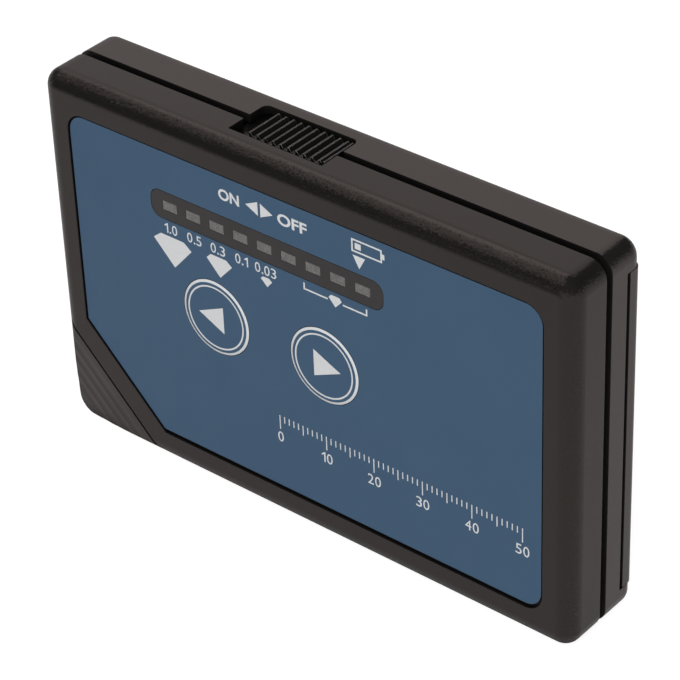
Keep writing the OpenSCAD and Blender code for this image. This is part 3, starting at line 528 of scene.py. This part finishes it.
# %% Finish of the window
SMOKE = (0.018, 0.0165, 0.0165)
SMOKE_PALE = (0.022, 0.0205, 0.0205)
SMOKE_BLOT = 5 * MM
SMOKE_EDGE_ROUND = 0.08 * MM
SMOKE_GRAIN = 0.3 * MM
SMOKE_GRAIN_DEPTH = 0.005 * MM
smoked_window, shader = start_material("smoked_window", SMOKE, roughness=0.32, specular=0.44)
blots = spread(smoked_window, noise(smoked_window, SMOKE_BLOT, 3), 0, 1)
link(smoked_window, blend_colours(smoked_window, blots, SMOKE, SMOKE_PALE), shader.inputs["Base Color"])
rounded, _ = soft_edge(smoked_window, SMOKE_EDGE_ROUND)
haze = bump(smoked_window, noise(smoked_window, SMOKE_GRAIN), SMOKE_GRAIN_DEPTH, rounded)
link(smoked_window, haze, shader.inputs["Normal"])
print("strip", smoked_window.name)

# %% Finish of the lamps
LENS_GREY = (0.098, 0.095, 0.094)
LENS_PALE = (0.150, 0.146, 0.144)
LENS_CLOUD = 0.5 * MM
CLOUD_RANGE = (0.35, 0.65)
LINE_PITCH = 0.22 * MM
LINE_DEPTH = 0.012 * MM
LINE_WAVER = 3
WAVE_STEPS = 20
lamp_lens, shader = start_material("lamp_lens", LENS_GREY, roughness=0.35)
lines = add_node(lamp_lens, "TexWave", wave_type="BANDS", bands_direction="X")
lines.inputs["Scale"].default_value = pi / (WAVE_STEPS * LINE_PITCH)
lines.inputs["Distortion"].default_value = LINE_WAVER
place = add_node(lamp_lens, "TexCoord")
link(lamp_lens, place.outputs["Object"], lines.inputs["Vector"])
cloud = spread(lamp_lens, noise(lamp_lens, LENS_CLOUD, 3), 0, 1, *CLOUD_RANGE)
link(lamp_lens, blend_colours(lamp_lens, cloud, LENS_GREY, LENS_PALE), shader.inputs["Base Color"])
link(lamp_lens, bump(lamp_lens, lines.outputs["Fac"], LINE_DEPTH), shader.inputs["Normal"])
print("lamps", lamp_lens.name)

# %% [markdown]
# ## Inner pieces
#
# The board, its components, the battery cells, the contacts and the probe show when the door slides off,
# the cap is pulled, or the model is opened up. Each gets the finish of the real thing: woven glass
# laminate, black epoxy, shrink-wrapped jackets, nickel-plated spring steel, turned metal and soft wire
# insulation. One helper makes the plain kinds, with the colour and gloss that each needs and a grain of its
# own size.

# %% Finishes of the inner pieces
FINISH_CHANGE = 0.05


def plain_finish(name, colour, second, roughness, grain, depth, metallic=0.0, stretch=(1, 1, 1)):
    """A finish of two close colours in blots of a size in millimetres, with a relief of the same pattern."""
    material, shader = start_material(name, colour, roughness, metallic=metallic)
    pattern = noise(material, grain * MM, 3, stretch)
    blots = spread(material, pattern, 0, 1)
    link(material, blend_colours(material, blots, colour, second), shader.inputs["Base Color"])
    dullness = spread(material, pattern, roughness - FINISH_CHANGE, roughness + FINISH_CHANGE)
    link(material, dullness, shader.inputs["Roughness"])
    link(material, bump(material, pattern, depth * MM), shader.inputs["Normal"])
    return material


# Name, two colours, roughness, size and depth of the grain, and for metals also metallic and stretch
PLAIN_FINISHES = [
    ("board_laminate", (0.01, 0.10, 0.035), (0.015, 0.125, 0.045), 0.4, 0.5, 0.01),
    ("black_component", (0.012, 0.012, 0.013), (0.02, 0.02, 0.021), 0.5, 0.3, 0.01),
    ("light_component", (0.55, 0.52, 0.45), (0.60, 0.57, 0.50), 0.5, 0.6, 0.01),
    ("blue_component", (0.02, 0.09, 0.32), (0.025, 0.11, 0.38), 0.35, 0.8, 0.006),
    ("cell_jacket", (0.05, 0.05, 0.055), (0.065, 0.065, 0.07), 0.28, 4, 0.02),
    ("plated_steel", (0.62, 0.60, 0.56), (0.70, 0.68, 0.65), 0.28, 0.6, 0.004, 1.0, (1, 1, 0.15)),
    ("screw_steel", (0.20, 0.20, 0.21), (0.28, 0.28, 0.28), 0.35, 0.4, 0.006, 1.0),
    ("nose_metal", (0.66, 0.65, 0.62), (0.74, 0.73, 0.70), 0.25, 0.3, 0.004, 1.0),
    ("tip_copper", (0.72, 0.36, 0.22), (0.80, 0.42, 0.27), 0.3, 0.3, 0.004, 1.0),
    ("red_insulation", (0.42, 0.02, 0.015), (0.48, 0.03, 0.02), 0.45, 0.7, 0.006),
    ("black_insulation", (0.015, 0.015, 0.015), (0.022, 0.022, 0.022), 0.45, 0.7, 0.006),
]
finishes = {row[0]: plain_finish(*row) for row in PLAIN_FINISHES}
finishes["case_plastic"] = case_plastic
finishes["slider_plastic"] = slider_plastic
finishes["overlay_film"] = overlay_film
finishes["smoked_window"] = smoked_window
finishes["lamp_lens"] = lamp_lens
print("finishes", len(finishes))

# %% Give every CAD piece its finish
for row in frame["record"]["subparts"]:
    frame["nodes"][row["node"]].material_slots[0].material = finishes[row["material_slot"]]
# The back shell and the door take the lit copy of the case plastic.
OTHER_PLASTICS = {"back_shell": lit_back_plastic, "battery_door": lit_back_plastic, "probe_cap": cap_plastic}
for node, finish in OTHER_PLASTICS.items():
    frame["nodes"][node].material_slots[0].material = finish

# %% [markdown]
# ## Probe spring
#
# A coil spring behind the tip of the probe gets shorter as the tip is pressed in. A rigid mesh can't do
# that, and the tip would cut through it. Here a copy of the CAD spring, with its loose triangles merged and
# smooth shading, stands for it and moves with the case, but it is not made to flatten.

# %% Copy the probe spring
MERGE_GAP = 0.001 * MM


def open_for_editing(piece):
    """Opens one piece in edit mode with all of it selected."""
    bpy.ops.object.select_all(action="DESELECT")
    piece.select_set(True)
    bpy.context.view_layer.objects.active = piece
    bpy.ops.object.mode_set(mode="EDIT")
    bpy.ops.mesh.select_all(action="SELECT")


coil = bpy.data.objects.new("probe_spring_coil", frame["nodes"]["probe_spring"].data.copy())
bpy.context.collection.objects.link(coil)
open_for_editing(coil)
bpy.ops.mesh.remove_doubles(threshold=MERGE_GAP)
bpy.ops.object.mode_set(mode="OBJECT")
bpy.ops.object.shade_smooth_by_angle(angle=SMOOTH_ANGLE)
coil.data.materials.clear()
coil.data.materials.append(finishes["plated_steel"])
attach(coil, "case")
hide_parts("probe_spring")
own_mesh(coil)

# %% [markdown]
# ## Ink
#
# The marks are screen printed in white. A printed mark could be a pattern in the sheet's material, but then
# its edge is only as sharp as the pattern, so each mark is a real layer of ink, a fiftieth of a millimetre
# thick, that lies on the sheet. Straight shapes start as a circle with one vertex for each corner, whose
# vertices go to their places, and words start as text. Both are then extruded to the thickness of the ink.

# %% Ink finish
INK_WHITE = (0.64, 0.65, 0.66)
INK_GREY = (0.60, 0.61, 0.625)
INK_BLOT = 0.25 * MM
INK_GRAIN = 0.2 * MM
INK_GRAIN_DEPTH = 0.004 * MM
print_ink, shader = start_material("print_ink", INK_WHITE, roughness=0.5, specular=0.3)
blots = spread(print_ink, noise(print_ink, INK_BLOT, 3), 0, 1)
link(print_ink, blend_colours(print_ink, blots, INK_WHITE, INK_GREY), shader.inputs["Base Color"])
link(print_ink, bump(print_ink, noise(print_ink, INK_GRAIN), INK_GRAIN_DEPTH), shader.inputs["Normal"])
print("ink", print_ink.name)

# %% Print a flat shape
INK_THICK = 0.02 * MM
INK_SINK = 0.004 * MM
sheet_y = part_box("overlay_panel")[0].y
key_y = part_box("left_key")[0].y


def thicken(layer):
    """Extrudes a flat layer towards the viewer and points its faces outwards."""
    open_for_editing(layer)
    bpy.ops.mesh.extrude_region_move(TRANSFORM_OT_translate={"value": (0, -INK_THICK, 0)})
    bpy.ops.mesh.select_all(action="SELECT")
    bpy.ops.mesh.normals_make_consistent(inside=False)
    bpy.ops.object.mode_set(mode="OBJECT")
    return layer


def ink_shape(corners, face_y=sheet_y):
    """A printed shape with the given corners, as (x, z) in millimetres on the front."""
    bpy.ops.object.select_all(action="DESELECT")
    bpy.ops.mesh.primitive_circle_add(vertices=len(corners), radius=MM, fill_type="NGON")
    layer = bpy.context.object
    for vertex, (x, z) in zip(layer.data.vertices, corners):
        vertex.co = (x * MM, face_y + INK_SINK, z * MM)
    return thicken(layer)


def ink_bar(low_x, low_z, high_x, high_z):
    """A printed bar between two corners."""
    return ink_shape([(low_x, low_z), (high_x, low_z), (high_x, high_z), (low_x, high_z)])


print("ink on the sheet at", round(sheet_y / MM, 2), "mm and on the keys at", round(key_y / MM, 2), "mm")

# %% Print words and join the marks of a piece


def ink_text(words, low_x, low_z, high_x, high_z, weight=0.0):
    """Printed words that fill the given box on the sheet."""
    bpy.ops.object.select_all(action="DESELECT")
    bpy.ops.object.text_add(rotation=(radians(90), 0, 0))
    layer = bpy.context.object
    layer.data.body = words
    layer.data.offset = weight
    bpy.ops.object.convert(target="MESH")
    layer = bpy.context.object
    xs = [vertex.co.x for vertex in layer.data.vertices]
    ys = [vertex.co.y for vertex in layer.data.vertices]
    wide = (high_x - low_x) * MM / (max(xs) - min(xs))
    tall = (high_z - low_z) * MM / (max(ys) - min(ys))
    layer.scale = (wide, tall, 1)
    layer.location = (low_x * MM - min(xs) * wide, sheet_y + INK_SINK, low_z * MM - min(ys) * tall)
    bpy.ops.object.transform_apply(location=True, rotation=True, scale=True)
    bpy.ops.object.shade_flat()
    return thicken(layer)


def finish_print(name, layers, body):
    """Joins printed layers into one piece that moves with a body."""
    bpy.ops.object.select_all(action="DESELECT")
    for layer in layers:
        layer.select_set(True)
    bpy.context.view_layer.objects.active = layers[0]
    bpy.ops.object.join()
    piece = bpy.context.object
    piece.name = name
    piece.data.name = name
    bpy.ops.object.transform_apply(location=True, rotation=True, scale=True)
    piece.data.materials.clear()
    piece.data.materials.append(print_ink)
    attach(piece, body)
    print(name, len(piece.data.polygons), "faces")


print("print helpers ready")

# %% [markdown]
# ## Marks of the switch and the battery
#
# Above the strip, two words and two arrows say which way the slider goes. Over the last two lamps, a small
# battery with a single bar and an arrow point to the lamps that show a weak battery.

# %% Print the switch marks
SWITCH_WEIGHT = 0.028
finish_print("switch_marks", [
    ink_text("ON", -15.78, 59.55, -11.38, 61.65, SWITCH_WEIGHT),
    ink_shape([(-10.02, 60.7), (-7.45, 59.42), (-7.45, 61.98)]),
    ink_shape([(-4.33, 60.62), (-6.9, 61.9), (-6.9, 59.34)]),
    ink_text("OFF", -3.35, 59.5, 2.72, 61.65, SWITCH_WEIGHT),
], "case")

# %% Print the battery mark
MARK_LINE = 0.3


def ink_frame(low_x, low_z, high_x, high_z):
    """The four bars of a printed rectangle."""
    return [
        ink_bar(low_x, low_z, high_x, low_z + MARK_LINE),
        ink_bar(low_x, high_z - MARK_LINE, high_x, high_z),
        ink_bar(low_x, low_z + MARK_LINE, low_x + MARK_LINE, high_z - MARK_LINE),
        ink_bar(high_x - MARK_LINE, low_z + MARK_LINE, high_x, high_z - MARK_LINE),
    ]


finish_print("battery_mark", [
    *ink_frame(11.8, 60.3, 17.9, 62.7),
    ink_bar(17.9, 61.0, 18.4, 62.0),
    ink_bar(12.5, 60.95, 13.7, 62.05),
    ink_shape([(13.27, 57.4), (14.5, 59.7), (12.0, 59.7)]),
], "case")

# %% [markdown]
# ## Size scale under the lamps
#
# Under the lamps stand the stone sizes that the user sets with the keys, and under them three cut stones
# that get smaller with the numbers. A cut stone seen from the side has a flat top, a wider girdle and a
# point, so five corners draw it. A bracket joins the lamps at the other end of the strip.

# %% Print the numbers
NUMBER_LOW = 48.46
NUMBER_HIGH = 50.32
SIZE_NUMBERS = [("1.0", -26.98), ("0.5", -21.83), ("0.3", -16.7), ("0.1", -11.58), ("0.03", -6.48)]
NARROW_WIDTHS = {"1": 0.40, ".": 0.17}
DIGIT_WIDTH = 0.60
DIGIT_SPACE = 0.15
ONE_STEM = 0.14
ONE_SLANT = 0.04
ONE_FLAG = (0.24, 0.37)


def ink_one(low_x, low_z, high_x, high_z):
    """A printed 1: a straight stem on the right with a short flag."""
    tall = high_z - low_z
    stem = high_x - ONE_STEM * tall
    flag_high, flag_low = (high_z - share * tall for share in ONE_FLAG)
    return ink_shape([(high_x, low_z), (high_x, high_z), (stem + ONE_SLANT * tall, high_z), (low_x, flag_high),
                      (low_x, flag_low), (stem, flag_high), (stem, low_z)])


def ink_number(number, middle, low_z, high_z):
    """A printed number, one layer for each character, around the given middle."""
    tall = high_z - low_z
    widths = [tall * NARROW_WIDTHS.get(character, DIGIT_WIDTH) for character in number]
    space = DIGIT_SPACE * tall
    at = middle - (sum(widths) + space * (len(number) - 1)) / 2
    layers = []
    for character, width in zip(number, widths):
        if character == "1":
            layers.append(ink_one(at, low_z, at + width, high_z))
        elif character == ".":
            layers.append(ink_bar(at, low_z, at + width, low_z + width))
        else:
            layers.append(ink_text(character, at, low_z, at + width, high_z))
        at += width + space
    return layers


finish_print("size_numbers", [
    layer for number, middle in SIZE_NUMBERS
    for layer in ink_number(number, middle, NUMBER_LOW, NUMBER_HIGH)
], "case")

# %% Print the cut stones
finish_print("stone_marks", [
    ink_shape([(-29.37, 47.83), (-31.02, 46.5), (-26.67, 42.0), (-22.67, 46.58), (-24.27, 47.83)]),
    ink_shape([(-18.37, 47.92), (-19.32, 46.98), (-16.52, 44.0), (-13.82, 46.98), (-15.02, 47.92)]),
    ink_shape([(-7.07, 48.02), (-7.62, 47.56), (-6.27, 46.25), (-5.17, 47.52), (-5.82, 48.02)]),
], "case")

# %% Print the bracket
BRACKET_LEFT = 1.5
BRACKET_RIGHT = 14.6
BRACKET_LOW = 49.0
BRACKET_HIGH = 50.3
line_top = BRACKET_LOW + MARK_LINE
finish_print("lamp_bracket", [
    ink_bar(BRACKET_LEFT, BRACKET_LOW, 6.5, line_top),
    ink_bar(9.6, BRACKET_LOW, BRACKET_RIGHT, line_top),
    ink_bar(BRACKET_LEFT, line_top, BRACKET_LEFT + MARK_LINE, BRACKET_HIGH),
    ink_bar(BRACKET_RIGHT - MARK_LINE, line_top, BRACKET_RIGHT, BRACKET_HIGH),
    ink_shape([(7.2, 50.2), (6.7, 49.6), (8.05, 48.1), (9.4, 49.6), (8.9, 50.2)]),
], "case")

# %% [markdown]
# ## Key rings and arrows
#
# Each key has a white ring on its sloping edge, a second ring on its top, and an arrow. A ring is a circle
# of edges that is extruded once and then scaled, so that the new edges become the inner rim. It is then
# extruded to the thickness of the ink, like every other mark. The ring on the slope also moves forward as
# it gets smaller, to follow the slope.

# %% Print the keys
RING_STEPS = 96
SLOPE_RING = (7.07, 6.62)
SLOPE_SHARE = 0.75
TOP_RING = (6.08, 5.78)
LEFT_ARROW = [(-3.7, 0), (1.7, -2.6), (1.7, 2.6)]
RIGHT_ARROW = [(3.5, 0), (-2.1, 2.6), (-2.1, -2.6)]


def ink_ring(centre_x, centre_z, radii, outer_y, inner_y):
    """A printed ring between two radii in millimetres, each at its own depth."""
    outer, inner = radii
    middle = Vector((centre_x, outer_y, centre_z))
    bpy.ops.object.select_all(action="DESELECT")
    bpy.ops.mesh.primitive_circle_add(vertices=RING_STEPS, radius=outer * MM, location=middle,
                                      rotation=(radians(90), 0, 0))
    layer = bpy.context.object
    bpy.ops.object.transform_apply(location=True, rotation=True, scale=True)
    open_for_editing(layer)
    bpy.ops.mesh.extrude_edges_move(TRANSFORM_OT_translate={"value": (0, inner_y - outer_y, 0)})
    size = inner / outer
    bpy.ops.transform.resize(value=(size, 1, size), center_override=middle)
    bpy.ops.object.mode_set(mode="OBJECT")
    return thicken(layer)


def print_key(node, body, name, arrow):
    """Prints the rings and the arrow of one key."""
    low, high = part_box(node)
    middle_x = (low.x + high.x) / 2
    middle_z = (low.z + high.z) / 2
    face = key_y + INK_SINK
    slope_low = sheet_y + INK_SINK
    slope_high = slope_low + SLOPE_SHARE * (face - slope_low)
    layers = [
        ink_ring(middle_x, middle_z, SLOPE_RING, slope_low, slope_high),
        ink_ring(middle_x, middle_z, TOP_RING, face, face),
        ink_shape([(middle_x / MM + x, middle_z / MM + z) for x, z in arrow], key_y),
    ]
    finish_print(name, layers, body)


print_key("left_key", "left_button", "left_key_print", LEFT_ARROW)
print_key("right_key", "right_button", "right_key_print", RIGHT_ARROW)

# %% [markdown]
# ## Rule along the lower edge
#
# The lower right of the sheet carries a plain rule, with which a stone or a setting is measured. One tick
# is modelled and an Array modifier repeats it every millimetre. Every fifth and every tenth tick is longer,
# so two more arrays go on below the first.

# %% Print the rule
RULE_START = -5.1
RULE_TOP = 21.2
RULE_LENGTH = 50
RULE_NUMBER_STEP = 10
RULE_NUMBER_LOW = 15.8
RULE_NUMBER_HIGH = 17.8
TICK_HALF = 0.1
SHORT_TICK = 1.3
MIDDLE_TICK = 2.0
LONG_TICK = 2.8


def ink_ticks(top, bottom, step):
    """A row of ticks between two distances under the rule's top line."""
    tick = ink_bar(RULE_START - TICK_HALF, RULE_TOP - bottom, RULE_START + TICK_HALF, RULE_TOP - top)
    row = tick.modifiers.new("row", "ARRAY")
    row.use_relative_offset = False
    row.use_constant_offset = True
    row.constant_offset_displace = (step * MM, 0, 0)
    row.count = RULE_LENGTH // step + 1
    bpy.ops.object.modifier_apply(modifier="row")
    return tick


finish_print("rule_marks", [
    ink_ticks(0, SHORT_TICK, 1),
    ink_ticks(SHORT_TICK, MIDDLE_TICK, 5),
    ink_ticks(MIDDLE_TICK, LONG_TICK, 10),
    *[layer for at in range(0, RULE_LENGTH + 1, RULE_NUMBER_STEP)
      for layer in ink_number(str(at), RULE_START + at, RULE_NUMBER_LOW, RULE_NUMBER_HIGH)],
], "case")

# %% [markdown]
# ## Size
#
# The finish must not make the object bigger; the script ends here and does not measure the boxes.

# %% Finish
print("finished")
